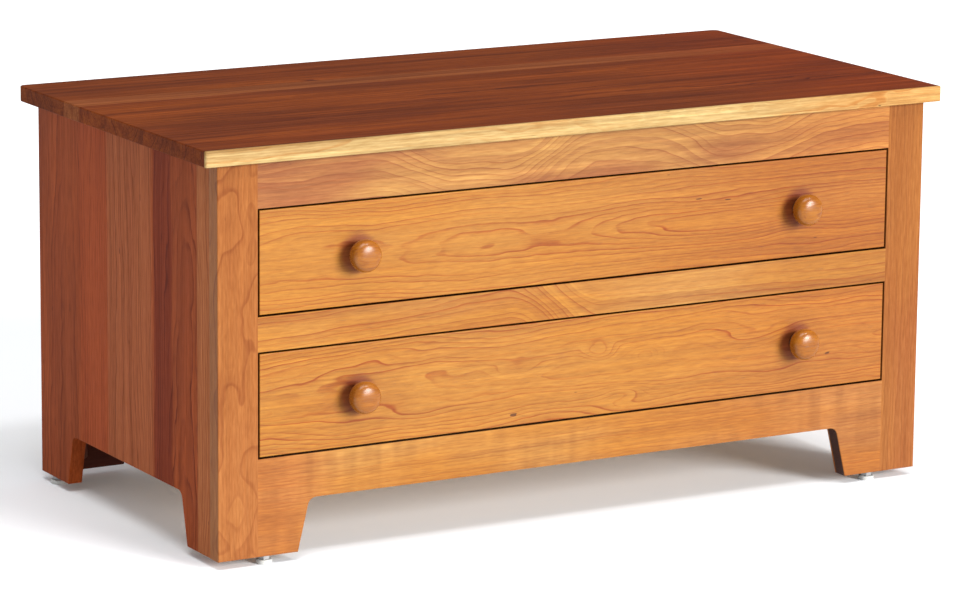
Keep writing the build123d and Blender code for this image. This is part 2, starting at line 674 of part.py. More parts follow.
def make_drawer_back(drawer, name):
    """A drawer back, with pins between the sides' tails."""
    with BuildPart() as back:
        board((-drawer.half, drawer.half), (drawer.back_front_y, drawer.rear_y), drawer.back_z)
        sockets = (drawer.back_front_y, drawer.rear_y, drawer.rear_tails, REAR_TAIL_WIDTH)
        for hand in SIDES.values():
            tails(hand, *sockets, Mode.SUBTRACT)
    save(back.part, name)


def make_drawer_bottom(drawer, name):
    """A drawer's plywood bottom, in the grooves of the front and sides and under the back."""
    with BuildPart() as bottom:
        board((-drawer.bottom_half, drawer.bottom_half), drawer.bottom_y, drawer.groove_z)
    save(bottom.part, name)


def make_knob(name, x, z):
    """A turned knob: base, waisted neck and domed cap, bored for its screw."""
    outwards = Plane(origin=(x, FACE_Y, z), x_dir=(1, 0, 0), z_dir=(0, 0, -1))
    with BuildPart() as knob:
        with BuildSketch(outwards):
            with BuildLine():
                base = Line((KNOB_BASE_RADIUS, 0), (KNOB_BASE_RADIUS, KNOB_BASE_HEIGHT))
                neck = Spline(
                    base @ 1,
                    KNOB_NECK,
                    KNOB_SHOULDER,
                    tangents=(KNOB_BASE_SLOPE, KNOB_SHOULDER_SLOPE),
                )
                rim = Spline(
                    neck @ 1,
                    (KNOB_RADIUS, KNOB_WIDEST),
                    (0, KNOB_PROJECTION),
                    tangents=(KNOB_SHOULDER_SLOPE, (-1, 0)),
                )
                Polyline(rim @ 1, (0, 0), base @ 0)
            make_face()
        revolve(axis=Axis((x, FACE_Y, z), (0, -1, 0)))
        with Locations(Location((x, FACE_Y - KNOB_SCREW_DEPTH / 2, z), (90, 0, 0))):
            Cylinder(KNOB_SCREW_RADIUS + FIT, KNOB_SCREW_DEPTH, mode=Mode.SUBTRACT)
    save(knob.part, name)


def make_drawer(prefix, opening_z):
    """Every piece of one drawer."""
    drawer = Drawer(opening_z)
    make_drawer_front(drawer, f"{prefix}_drawer_front")
    make_drawer_back(drawer, f"{prefix}_drawer_back")
    make_drawer_bottom(drawer, f"{prefix}_drawer_bottom")
    for side_name, hand in SIDES.items():
        make_drawer_side(drawer, f"{prefix}_drawer_side_{side_name}", hand)
        make_knob(f"{prefix}_knob_{side_name}", hand * KNOB_X, drawer.knob_z)
    screw_y = drawer.front_back_y
    places = [Location((x, screw_y, drawer.knob_z), (90, 0, 0)) for x in (-KNOB_X, KNOB_X)]
    length = DRAWER_FRONT_THICKNESS + KNOB_SCREW_DEPTH - SCREW_END_ROOM
    make_screws(f"{prefix}_knob_screws", places, KNOB_SCREW_RADIUS, length)


def make_levellers():
    """Threaded inserts in the feet, and under each a stem with a hexagon, turning in a round pad."""
    with BuildPart() as inserts:
        for x, y in LEVELLERS.values():
            with Locations((x, y, FOOT_Z + INSERT_LENGTH / 2)):
                Cylinder(INSERT_RADIUS, INSERT_LENGTH)
                Cylinder(THREAD_RADIUS + FIT, INSERT_LENGTH, mode=Mode.SUBTRACT)
    save(inserts.part, "leveller_inserts")

    hex_bottom = PAD_HEIGHT + DRAWER_CLEARANCE
    hex_top = FOOT_Z - DRAWER_CLEARANCE
    for place, (x, y) in LEVELLERS.items():
        with BuildPart() as pad:
            rod(x, y, 0, PAD_RADIUS, PAD_HEIGHT)
            fillet(pad.edges().group_by(Axis.Z)[-1], PAD_ROUND)
            chamfer(pad.edges().group_by(Axis.Z)[0], PAD_CHAMFER)
            drill(x, y, SHANK_BOTTOM - FIT, SHANK_RADIUS + FIT, PAD_HEIGHT)
        save(pad.part, f"leveller_pad_{place}")

        with BuildPart() as stem:
            with BuildSketch(Plane.XY.offset(hex_bottom)):
                with Locations((x, y)):
                    RegularPolygon(HEX_ACROSS / 2, 6, major_radius=False)
            extrude(amount=hex_top - hex_bottom)
            rod(x, y, SHANK_BOTTOM, SHANK_RADIUS, hex_bottom - SHANK_BOTTOM)
            rod(x, y, hex_top, THREAD_RADIUS, STEM_TOP - hex_top)
            chamfer(stem.edges().group_by(Axis.Z)[-1], STEM_CHAMFER)
        save(stem.part, f"leveller_stem_{place}")


os.makedirs("parts", exist_ok=True)
make_top()
for side_name, hand in SIDES.items():
    make_side(f"side_panel_{side_name}", hand)
    make_stile(f"stile_{side_name}", hand)
    make_web_strips(side_name, hand)
make_rails()
make_rear()
make_corner_blocks()
make_buttons()
make_back_screws()
make_drawer_stops()
make_drawer("upper", UPPER_OPENING_Z)
make_drawer("lower", LOWER_OPENING_Z)
make_levellers()
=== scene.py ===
"""Studio scene of a two-drawer cherry chest: procedural woods, a pale floor and soft light."""

import json
import math

import bpy
from mathutils import Matrix, Vector


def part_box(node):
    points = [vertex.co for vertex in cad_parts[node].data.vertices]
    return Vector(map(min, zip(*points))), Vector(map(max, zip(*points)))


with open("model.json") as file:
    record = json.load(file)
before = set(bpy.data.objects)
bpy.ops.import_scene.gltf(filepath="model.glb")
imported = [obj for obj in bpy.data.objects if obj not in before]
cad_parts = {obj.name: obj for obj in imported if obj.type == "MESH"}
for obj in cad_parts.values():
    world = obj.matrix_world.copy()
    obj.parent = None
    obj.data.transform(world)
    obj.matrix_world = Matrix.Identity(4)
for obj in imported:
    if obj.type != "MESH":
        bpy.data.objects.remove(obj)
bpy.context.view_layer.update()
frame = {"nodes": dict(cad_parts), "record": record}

X, Y, Z = 0, 1, 2


class Tree:
    """Short names for the nodes of one material."""

    def __init__(self, name):
        self.material = bpy.data.materials.new(name)
        self.material.use_nodes = True
        self.nodes = self.material.node_tree.nodes
        self.links = self.material.node_tree.links
        self.nodes.clear()
        self.shader = self.nodes.new("ShaderNodeBsdfPrincipled")
        output = self.nodes.new("ShaderNodeOutputMaterial")
        self.links.new(self.shader.outputs["BSDF"], output.inputs["Surface"])
        self.place = self.nodes.new("ShaderNodeTexCoord").outputs["Object"]

    def put(self, socket, value):
        if isinstance(value, bpy.types.NodeSocket):
            self.links.new(value, socket)
        else:
            socket.default_value = value

    def math(self, operation, a, b=0.5):
        node = self.nodes.new("ShaderNodeMath")
        node.operation = operation
        self.put(node.inputs[0], a)
        self.put(node.inputs[1], b)
        return node.outputs[0]

    def add(self, a, b):
        return self.math("ADD", a, b)

    def sub(self, a, b):
        return self.math("SUBTRACT", a, b)

    def mul(self, a, b):
        return self.math("MULTIPLY", a, b)

    def split(self, vector):
        node = self.nodes.new("ShaderNodeSeparateXYZ")
        self.put(node.inputs[0], vector)
        return node.outputs

    def join(self, x, y, z):
        node = self.nodes.new("ShaderNodeCombineXYZ")
        for socket, value in zip(node.inputs, (x, y, z)):
            self.put(socket, value)
        return node.outputs[0]

    def reach(self, u, v, center, size):
        """Distance of (u, v) from center, counted in sizes."""
        node = self.nodes.new("ShaderNodeVectorMath")
        node.operation = "LENGTH"
        parts = [self.mul(self.sub(value, at), 1 / half) for value, at, half in zip((u, v), center, size)]
        self.put(node.inputs[0], self.join(*parts, 0.0))
        return node.outputs["Value"]

    def noise(self, vector, scale=1.0, detail=2.0, roughness=0.5):
        node = self.nodes.new("ShaderNodeTexNoise")
        self.put(node.inputs["Vector"], vector)
        self.put(node.inputs["Scale"], scale)
        self.put(node.inputs["Detail"], detail)
        self.put(node.inputs["Roughness"], roughness)
        return node.outputs["Fac"]

    def streaks(self, axes, waves, seed, detail, roughness=0.5):
        """Noise along a board. waves: how many per metre along the grain, across it and inwards."""
        parts = [self.mul(axis, wave) for axis, wave in zip(axes, waves)]
        return self.noise(self.join(parts[0], parts[1], self.add(parts[2], seed)), 1.0, detail, roughness)

    def span(self, value, low, high, to_low=0.0, to_high=1.0, smooth=True):
        """value mapped from low..high to to_low..to_high, held at both ends."""
        node = self.nodes.new("ShaderNodeMapRange")
        node.interpolation_type = "SMOOTHSTEP" if smooth else "LINEAR"
        node.clamp = True
        for socket, setting in zip(node.inputs, (value, low, high, to_low, to_high)):
            self.put(socket, setting)
        return node.outputs[0]

    def ramp(self, value, stops, interpolation="LINEAR"):
        node = self.nodes.new("ShaderNodeValToRGB")
        node.color_ramp.interpolation = interpolation
        elements = node.color_ramp.elements
        while len(elements) < len(stops):
            elements.new(1.0)
        for element, (position, color) in zip(elements, stops):
            element.position = position
            element.color = (*color, 1.0)
        self.put(node.inputs[0], value)
        return node.outputs[0]

    def mix(self, factor, a, b, blend="MIX"):
        node = self.nodes.new("ShaderNodeMix")
        node.data_type = "RGBA"
        node.blend_type = blend
        self.put(node.inputs["Factor"], factor)
        for socket, value in ((node.inputs[6], a), (node.inputs[7], b)):
            self.put(socket, (*value, 1.0) if isinstance(value, tuple) else value)
        return node.outputs[2]

    def tint(self, color, tone, share=1.0):
        """color with that share of it multiplied by tone."""
        return self.mix(share, color, tone, "MULTIPLY")

    def bump(self, height, strength, distance):
        node = self.nodes.new("ShaderNodeBump")
        self.put(node.inputs["Strength"], strength)
        self.put(node.inputs["Distance"], distance)
        self.put(node.inputs["Height"], height)
        self.links.new(node.outputs[0], self.shader.inputs["Normal"])


def linear(red, green, blue):
    """The linear colour of an sRGB colour given in 0..255."""
    return tuple(
        c / 12.92 if c <= 0.04045 else ((c + 0.055) / 1.055) ** 2.4
        for c in (red / 255, green / 255, blue / 255)
    )


def palette(level, *colors):
    """Surface colours that look like the given sRGB colours under that much light."""
    return tuple(tuple(c / level for c in linear(*color)) for color in colors)


def tones(strength, dull, clear):
    """A dull and a clear tint. At strength 1, dull is that far below white and clear that far above it."""
    return tuple(1 - strength * drop for drop in dull), tuple(1 + strength * rise for rise in clear)


# Surface colours of each wood: light wood, dark ring line, pore
FRONT_LIGHT, EDGE_LIGHT, TOP_LIGHT, SIDE_LIGHT = 2.54, 2.34, 1.54, 0.90  # light that falls on each face
PALE_LIGHT, BLOCK_LIGHT = 1.40, 1.60
FRONT = palette(FRONT_LIGHT, (236, 155, 52), (190, 84, 6), (92, 40, 20))
PEACH = palette(FRONT_LIGHT, (219, 137, 72), (166, 82, 36), (100, 44, 22))
ROSE = palette(FRONT_LIGHT, (210, 130, 64), (158, 80, 40), (96, 40, 22))
RAIL = palette(FRONT_LIGHT, (246, 178, 94), (186, 96, 34), (104, 46, 26))
KNOB = palette(FRONT_LIGHT, (218, 132, 34), (172, 84, 24), (110, 50, 26))
SIDE = palette(SIDE_LIGHT, (144, 68, 32), (92, 34, 14), (60, 18, 8))
FAR_SIDE = palette(SIDE_LIGHT, (150, 82, 46), (104, 46, 22), (60, 18, 8))
TOP = palette(TOP_LIGHT, (152, 71, 16), (90, 30, 8), (56, 20, 8))
# The corner blocks are darker than the other cherry: painted shade, so they stay dark where they show
# through the foot gaps
BLOCK = palette(BLOCK_LIGHT, (120, 56, 28), (90, 36, 16), (60, 18, 8))
MAPLE = palette(PALE_LIGHT, (240, 204, 158), (220, 172, 122), (170, 120, 80))
PLY = palette(PALE_LIGHT, (238, 196, 146), (212, 160, 106), (160, 112, 70))

# Second colours of the same boards, in patches
WARM, TAN, PINK, GOLD, BLUSH, CLAY = palette(
    FRONT_LIGHT,
    (235, 163, 74), (212, 132, 58), (204, 120, 64), (240, 178, 98), (196, 110, 60), (204, 120, 58),
)
(SIDE_DARK,) = palette(SIDE_LIGHT, (124, 58, 30))
(TOP_DARK,) = palette(TOP_LIGHT, (122, 54, 14))
# Painted shade colour of the gaps, the knob necks and hidden inner faces
(GAP_SHADE,) = palette(FRONT_LIGHT, (62, 4, 2))

# Sapwood and streaks: light wood, dark ring line
EDGE_SAP = palette(EDGE_LIGHT, (255, 219, 150), (234, 174, 104))
TOP_SAP = palette(TOP_LIGHT, (162, 90, 44), (124, 58, 24))
SIDE_PALE = palette(SIDE_LIGHT, (156, 92, 54), (122, 62, 32))
SIDE_STREAK = palette(SIDE_LIGHT, (116, 46, 22), (74, 22, 10))
SIDE_BROWN = palette(SIDE_LIGHT, (152, 84, 50), (112, 54, 26))
SIDE_RED = palette(SIDE_LIGHT, (152, 70, 34), (116, 46, 20))

# Waves per metre of each kind of figure: along the grain, across it and inwards
JITTER = (16.0, 45.0, 45.0)
CLOUD = (3.2, 11.0, 1.0)
RAGGED = (4.0, 30.0, 0.0)
BAND = (1.6, 60.0, 60.0)
THREAD = (48.0, 460.0, 460.0)
FIBRE = (5.0, 420.0, 420.0)
CURL = (48.0, 7.0, 1.0)
DASH = (55.0, 1400.0, 1400.0)
GUM = (45.0, 230.0, 230.0)

YEAR_CHANGE, TONE_CHANGE = 2.5, 1.2  # changes of a year's line, and of its tone, per metre of grain
YEAR_STEP = 0.83  # how unlike each other the years are
SHALLOW_PITH = 0.1  # a log's centre nearer than this to the face makes wide cathedrals
SAP_EDGE, BOARD_EDGE, DIM_EDGE = 0.004, 0.0006, 0.001  # how soft the edges between colours are
# Painted shadow of each knob on its drawer front: the reach of the dark halo around the knob's base, and
# its tint
KNOB_SHADOW_SIZE = (0.030, 0.030)
KNOB_SHADOW_TONE = (0.62, 0.40, 0.80)


class Grain:
    """How one board was cut from its log.

    along, across: the board's axes, along the grain and across its face. face: where its face lies on
    the third axis. pith: where the log's centre line lies across the face and how deep behind it. lean:
    how much deeper it gets per metre along the grain. ring: a year's growth. wander: how far rings stray,
    over waves (along, across) of that length. jitter: how far they stray over short lengths, in rings.
    swirls: places (along, across, length, height, push) where a knot nearby pushes the rings aside.
    folds: (from, to, drop) along the grain, between which every ring drops by that much. Lengths are in
    metres.
    """

    def __init__(self, along, across, face, pith=(0.0, 0.09), lean=0.0, ring=0.0042, wander=0.006,
                 waves=(0.40, 0.09), jitter=0.8, seed=0.0, swirls=(), folds=()):
        self.along, self.across, self.deep, self.face = along, across, X + Y + Z - along - across, face
        self.pith, self.lean, self.ring, self.seed = pith, lean, ring, seed
        self.wander, self.waves, self.jitter, self.swirls, self.folds = wander, waves, jitter, swirls, folds


def ring_phase(t, grain, axes, seed, pith):
    """Distance from the log's centre line, in rings, and how steeply the rings meet the face, 0 to 1."""
    length, width, depth = axes
    long, wide = grain.waves
    low = t.streaks(axes, (1 / long, 1 / wide, 1 / wide), seed, detail=1.5, roughness=0.45)
    sway = t.mul(t.sub(low, 0.5), 4 * grain.wander)
    fine = t.streaks(axes, JITTER, seed, detail=2.0, roughness=0.55)
    jitter = t.mul(t.sub(fine, 0.5), 2 * grain.jitter * grain.ring)
    offset = t.sub(width, pith)
    for at, level, reach, height, push in grain.swirls:
        away = t.reach(length, width, (at, level), (reach, height))
        sway = t.add(sway, t.span(away, 0.0, 1.0, push, 0.0))
    for start, end, drop in grain.folds:
        offset = t.add(offset, t.span(length, start, end, 0.0, drop))
    inwards = t.math("ABSOLUTE", t.sub(depth, grain.face))
    below = t.add(t.add(t.mul(length, grain.lean), grain.pith[1]), inwards)
    radius = t.math("SQRT", t.add(t.mul(offset, offset), t.mul(below, below)))
    steep = t.math("DIVIDE", t.math("ABSOLUTE", offset), radius)
    return t.mul(t.add(t.add(radius, sway), jitter), 1 / grain.ring), steep


def late_wood(t, grain, phase, steep, length, seed):
    """How dark each year's ring is here: it darkens slowly, then sharply, and ends at once."""
    turn = t.math("FRACT", phase)
    slow = t.mul(t.span(turn, 0.10, 0.80, 0.0, 0.30), t.span(turn, 0.92, 1.0, 1.0, 0.0))
    sharp = t.mul(t.span(turn, 0.68, 0.88, 0.0, 0.70), t.span(turn, 0.90, 1.0, 1.0, 0.0))
    year = t.noise(t.join(t.math("FLOOR", phase), t.mul(length, YEAR_CHANGE), seed), YEAR_STEP, 1.0)
    shown = t.span(year, 0.30, 0.72, 0.10, 1.0)
    if grain.pith[1] < SHALLOW_PITH:
        shown = t.mul(shown, t.span(steep, 0.05, 0.60, 0.30, 1.0))
    return t.mul(t.add(slow, sharp), shown)


def glued(t, boards, width):
    """Where the centre line, the seed and the tone change from one glued board to the next."""
    low, high = boards[0][0], boards[-1][0]
    stops = [((edge - low) / (high - low), (tint, lie, chance)) for edge, tint, lie, chance in boards[:-1]]
    board = t.ramp(t.span(width, low, high, smooth=False), stops, "CONSTANT")
    node = t.nodes.new("ShaderNodeSeparateColor")
    t.put(node.inputs[0], board)
    tint, lie, chance = node.outputs[:3]
    shade = t.nodes.new("ShaderNodeCombineColor")
    for socket in shade.inputs:
        t.put(socket, t.mul(tint, 2.0))
    return t.span(lie, 0.0, 1.0, low, high, smooth=False), t.mul(chance, 30.0), shade.outputs[0]


def wood(name, grain, colors, line=0.55, streaks=0.12, flecks=0.5, patches=None, curl=0.0, rough=0.42,
         sheen=0.22, boards=None, sap=(), dim=None, fades=(), bands=1.0, rings=0.3, knob_shadows=()):
    """A board's material.

    colors: light wood, dark ring line, pore. line, streaks, flecks: how strong the ring lines, fine
    streaks and gum flecks are. patches: a second colour and its share. curl: how strong the ripple across
    the grain is. rough, sheen: how rough the finish is and how much it reflects.
    boards: glued boards as (edge, tone, pith, seed). sap: sapwood as (low edge, high edge, its two colours,
    raggedness, share). dim: painted shade in narrow, hidden places, as (share, from y, to y). fades: tints
    along the grain as (from, to, tint). bands, rings: how strongly long bands, and single years, differ in
    tone. knob_shadows: (along, across) of each knob, around whose base a painted shadow darkens the wood.
    """
    t = Tree(name)
    light, ring_line, pore = colors
    place = t.split(t.place)
    axes = length, width, depth = place[grain.along], place[grain.across], place[grain.deep]
    seed, pith, board_shade = grain.seed, grain.pith[0], None
    if boards:
        pith, seed, board_shade = glued(t, boards, width)

    # Light wood, with its patches and sapwood
    cloud = t.streaks(axes, CLOUD, seed, detail=2.0)
    if patches:
        second, share = patches
        light = t.mix(t.mul(t.span(cloud, 0.38, 0.68), share), light, second)
    ragged = t.streaks(axes, RAGGED, seed, detail=4.0, roughness=0.65)
    for low, high, (pale, pale_line), fuzz, share in sap:
        lie = t.add(width, t.mul(t.sub(ragged, 0.5), fuzz))
        begins = t.span(lie, low - SAP_EDGE, low + SAP_EDGE)
        inside = t.mul(begins, t.span(width, high, high + BOARD_EDGE, share, 0.0))
        light = t.mix(inside, light, pale)
        ring_line = t.mix(inside, ring_line, pale_line)

    # Rings
    phase, steep = ring_phase(t, grain, axes, seed, pith)
    late = late_wood(t, grain, phase, steep, length, seed)
    year_place = t.join(t.math("FLOOR", phase), t.mul(length, TONE_CHANGE), t.add(seed, 5.0))
    dull, clear = tones(rings, (0.14, 0.22, 0.22), (0.08, 0.12, 0.12))
    light = t.tint(light, t.ramp(t.noise(year_place, YEAR_STEP, 1.0), ((0.38, dull), (0.62, clear))))
    color = t.mix(t.mul(late, line), light, ring_line)

    # Bands, threads and fibres along the grain, and the ripple across it
    band = t.streaks(axes, BAND, seed, detail=3.0, roughness=0.6)
    dull, clear = tones(bands, (0.12, 0.16, 0.20), (0.07, 0.09, 0.10))
    color = t.tint(color, t.ramp(band, ((0.32, dull), (0.66, clear))))
    thread = t.streaks(axes, THREAD, seed, detail=2.0, roughness=0.6)
    color = t.tint(color, t.ramp(thread, ((0.30, (0.86, 0.79, 0.70)), (0.70, (1.09, 1.12, 1.15)))))
    fibre = t.streaks(axes, FIBRE, seed, detail=2.5, roughness=0.6)
    dull, clear = tones(streaks, (1.0, 1.0, 1.0), (0.4, 0.4, 0.4))
    color = t.tint(color, t.ramp(fibre, ((0.3, dull), (0.7, clear))))
    if curl:
        wave = t.streaks(axes, CURL, seed, detail=1.0)
        ripple = t.ramp(wave, ((0.35, (0.80, 0.74, 0.66)), (0.62, (1.12, 1.14, 1.16))))
        color = t.tint(color, ripple, t.mul(t.span(cloud, 0.35, 0.6), curl))

    # Pores and gum flecks
    pores = t.span(t.streaks(axes, DASH, seed, detail=1.0), 0.66, 0.78)
    color = t.mix(t.mul(pores, 0.30), color, pore)
    gum = t.streaks(axes, GUM, seed, detail=0.0)
    color = t.mix(t.mul(t.span(gum, 0.865, 0.90), flecks), color, pore)

    # Tones of whole areas, then painted shade around the knobs and in the gaps
    if board_shade:
        color = t.tint(color, board_shade)
    for start, end, tone in fades:
        color = t.tint(color, tone, t.span(length, start, end))
    # Painted shadow: a dark halo around each knob's base, where the knob shades the drawer front
    for center in knob_shadows:
        away = t.reach(length, width, center, KNOB_SHADOW_SIZE)
        color = t.tint(color, KNOB_SHADOW_TONE, t.span(away, 0.60, 1.0, 1.0, 0.0))
    # Painted shade: gap faces, knob necks and hidden inner faces take on the dark gap colour
    if dim:
        share, front, rear = dim
        begins = t.span(place[Y], front, front + DIM_EDGE, 0.0, share)
        color = t.mix(t.mul(begins, t.span(place[Y], rear - DIM_EDGE, rear, 1.0, 0.0)), color, GAP_SHADE)

    t.put(t.shader.inputs["Base Color"], color)
    t.put(t.shader.inputs["Roughness"], t.span(fibre, 0.2, 0.8, rough + 0.07, rough - 0.05))
    t.shader.inputs["Specular IOR Level"].default_value = sheen
    relief = t.sub(t.add(t.mul(fibre, 0.5), t.mul(late, 0.15)), pores)
    t.bump(relief, strength=0.22, distance=0.0004)
    return t.material


def plain(name, color, rough, metallic=0.0, grit=900.0, wear=0.12):
    """Metal or plastic with fine grit, faint smears and uneven sheen."""
    t = Tree(name)
    smear = t.noise(t.place, 90.0, 3.0)
    dull, clear = tones(wear, (1.0, 1.0, 1.0), (0.3, 0.3, 0.3))
    t.put(t.shader.inputs["Base Color"], t.tint(color, t.ramp(smear, ((0.3, dull), (0.7, clear)))))
    t.put(t.shader.inputs["Roughness"], t.span(smear, 0.2, 0.8, rough - 0.06, rough + 0.1))
    t.shader.inputs["Metallic"].default_value = metallic
    t.shader.inputs["Specular IOR Level"].default_value = 0.5
    t.bump(t.noise(t.place, grit, 2.0), strength=0.1, distance=0.0002)
    return t.material


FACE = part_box("upper_drawer_front")[0][Y]
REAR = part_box("rear_apron")[1][Y]
APRON_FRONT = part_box("rear_apron")[0][Y]
TOP_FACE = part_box("top_panel")[1][Z]

# Painted shade in hidden, narrow places: the gap faces of drawers and frame, the knobs' necks and the rear
# apron's inner face. Each is share, from y, to y
DRAWER_EDGE = (0.76, FACE + 0.0005, FACE + 0.0195)
FRAME_EDGE = (0.94, FACE + 0.0005, FACE + 0.0195)
KNOB_NECK = (0.88, FACE - 0.014, FACE + 0.010)
INNER_FACE = (0.85, APRON_FRONT - 0.0020, APRON_FRONT + 0.0015)


def middle(node):
    """The middle of a node's box, across the front."""
    low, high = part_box(node)
    return (low[X] + high[X]) / 2, (low[Z] + high[Z]) / 2


def front_board(**grain):
    """A front piece whose grain runs along the chest's width."""
    return Grain(X, Z, FACE, **grain)


def drawer_front(row, grain, fade):
    """A drawer front's material, with a painted shadow around each of its two knobs."""
    return wood(
        f"cherry_{row}_drawer_front", grain, FRONT,
        line=1.0, patches=(WARM, 0.5), flecks=0.8, dim=DRAWER_EDGE, fades=(fade,),
        knob_shadows=[middle(f"{row}_knob_{side}") for side in ("left", "right")],
    )


materials = {}

# Front: drawers, rails and stiles
materials["upper_drawer_front"] = drawer_front(
    "upper",
    front_board(
        pith=(0.372, 0.016), lean=-0.03, ring=0.0050, wander=0.007, waves=(0.22, 0.05), jitter=0.6,
        seed=3.1,
        swirls=((-0.05, 0.385, 0.16, 0.04, 0.008), (0.20, 0.360, 0.14, 0.04, -0.010)),
    ),
    fade=(-0.1, 0.42, (0.90, 0.75, 0.70)),
)
materials["lower_drawer_front"] = drawer_front(
    "lower",
    front_board(
        pith=(0.198, 0.018), lean=-0.03, ring=0.0050, wander=0.008, waves=(0.16, 0.045), jitter=0.6,
        seed=11.7,
        swirls=(
            (0.026, 0.212, 0.040, 0.022, 0.014), (0.092, 0.206, 0.034, 0.020, -0.014),
            (-0.10, 0.205, 0.06, 0.018, 0.010), (0.26, 0.208, 0.10, 0.030, 0.011),
            (0.06, 0.160, 0.05, 0.018, 0.010),
        ),
    ),
    fade=(0.05, 0.42, (0.98, 0.86, 0.84)),
)
materials["top_rail"] = wood(
    "cherry_top_rail",
    front_board(
        pith=(0.400, 0.020), lean=0.02, ring=0.0060, wander=0.008, waves=(0.16, 0.06), jitter=0.5,
        seed=21.3,
        folds=((-0.30, -0.19, 0.030), (-0.12, 0.02, -0.050), (0.10, 0.22, 0.040), (0.26, 0.36, -0.030)),
    ),
    RAIL, line=0.75, patches=(PINK, 1.0), bands=1.8, rings=1.0, flecks=0.6, dim=FRAME_EDGE,
    fades=((0.15, 0.46, (1.14, 0.96, 0.72)),),
)
materials["middle_rail"] = wood(
    "cherry_middle_rail",
    front_board(
        pith=(0.200, 0.020), lean=0.01, ring=0.0062, wander=0.005, waves=(0.18, 0.06), jitter=0.5,
        seed=37.9,
        folds=((-0.45, -0.08, -0.022), (-0.11, 0.03, 0.090)),
    ),
    FRONT, line=0.85, patches=(GOLD, 0.55), flecks=0.4, dim=FRAME_EDGE, rings=0.8,
    fades=((0.10, 0.42, (0.88, 0.86, 1.0)),),
)
materials["bottom_rail"] = wood(
    "cherry_bottom_rail",
    front_board(pith=(0.26, 0.06), lean=0.02, wander=0.004, seed=45.2),
    FRONT, line=0.45, patches=(GOLD, 0.6), curl=0.6, flecks=0.4, dim=FRAME_EDGE,
    fades=((-0.05, 0.40, (0.92, 0.78, 0.84)), (-0.32, -0.42, (0.92, 0.76, 0.84))),
)
materials["stile_left"] = wood(
    "cherry_stile_left",
    Grain(
        Z, X, FACE, pith=(-0.480, 0.30), lean=0.01, ring=0.0110, wander=0.020, waves=(0.10, 0.055),
        jitter=0.2, seed=52.0,
    ),
    PEACH, line=0.60, patches=(CLAY, 0.4), flecks=0.3, sheen=0.08,
    fades=((0.26, 0.06, (1.08, 1.14, 1.26)),),
)
materials["stile_right"] = wood(
    "cherry_stile_right",
    Grain(Z, X, FACE, pith=(0.56, 0.05), lean=0.03, ring=0.0046, seed=61.0),
    ROSE, line=0.45, patches=(BLUSH, 0.6), flecks=0.3, sheen=0.08,
    fades=((0.26, 0.06, (1.06, 1.14, 1.26)),),
)
for n, knob in enumerate(("upper_knob_left", "upper_knob_right", "lower_knob_left", "lower_knob_right")):
    materials[knob] = wood(
        f"cherry_{knob}",
        Grain(
            X, Z, FACE - 0.03, pith=(middle(knob)[1] - 0.006, 0.004), ring=0.0046, wander=0.002,
            seed=140.0 + 7 * n,
        ),
        KNOB, line=0.7, flecks=0.2, rough=0.26, sheen=0.38, dim=KNOB_NECK, patches=(TAN, 0.4),
    )

# Sides, top and back
side_boards = (
    (-0.226, 0.50, 0.90, 0.11), (-0.193, 0.50, 0.15, 0.42), (-0.068, 0.50, 0.95, 0.25),
    (0.140, 0.50, 0.83, 0.91), (0.263, 0.0, 0.0, 0.0),
)
side_sap = (
    (-0.40, -0.193, SIDE_PALE, 0.0, 1.0), (-0.124, -0.074, SIDE_STREAK, 0.045, 0.9),
    (-0.068, 0.060, SIDE_BROWN, 0.012, 0.9), (0.060, 0.140, SIDE_RED, 0.020, 0.8),
)
for side, outer, colors in (("left", 0, SIDE), ("right", 1, FAR_SIDE)):
    materials[f"side_panel_{side}"] = wood(
        f"cherry_side_{side}",
        Grain(
            Z, Y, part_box(f"side_panel_{side}")[outer][X], pith=(0.0, 0.02), lean=0.05, ring=0.0065,
            wander=0.010, waves=(0.25, 0.06),
        ),
        colors, line=0.95, streaks=0.2, patches=(SIDE_DARK, 0.6), flecks=0.8, boards=side_boards,
        sap=side_sap, sheen=0.02,
    )
materials["top_panel"] = wood(
    "cherry_top",
    Grain(X, Y, TOP_FACE, pith=(0.0, 0.03), lean=0.02, ring=0.0055, wander=0.012, waves=(0.5, 0.08)),
    TOP, line=1.0, streaks=0.28, bands=2.2, rings=0.6, patches=(TOP_DARK, 0.8), flecks=0.9, sheen=0.05,
    rough=0.60, fades=((0.15, 0.50, (1.0, 0.78, 0.60)),),
    boards=(
        (-0.259, 0.52, 0.30, 0.30), (-0.090, 0.50, 0.42, 0.64), (0.020, 0.50, 0.55, 0.12),
        (0.140, 0.47, 0.78, 0.80), (0.281, 0.0, 0.0, 0.0),
    ),
    sap=((0.097, 0.140, TOP_SAP, 0.030, 0.85), (-0.30, -0.2545, EDGE_SAP, 0.0, 1.0)),
)
materials["rear_apron"] = wood(
    "cherry_rear", Grain(X, Z, REAR, pith=(0.05, 0.04), lean=0.02, seed=91.0),
    SIDE, line=0.5, flecks=0.5, sheen=0.10, dim=INNER_FACE,
)

# Inside: maple, plywood and cherry blocks
maple = {"line": 0.35, "flecks": 0.1, "rough": 0.55}
plywood = {"line": 0.3, "flecks": 0.2, "rough": 0.6}
veneer = {"ring": 0.009, "wander": 0.03}
maple_x = wood("maple_across", Grain(X, Z, 0.2, pith=(0.2, 0.05), seed=101.0), MAPLE, **maple)
maple_y = wood("maple_deep", Grain(Y, Z, 0.45, pith=(0.2, 0.05), seed=113.0), MAPLE, **maple)
ply_x = wood("plywood_birch", Grain(X, Y, 0.32, pith=(0.0, 0.20), seed=127.0, **veneer), PLY, **plywood)
ply_back = wood("plywood_back", Grain(X, Z, 0.26, pith=(0.3, 0.20), seed=131.0, **veneer), PLY, **plywood)
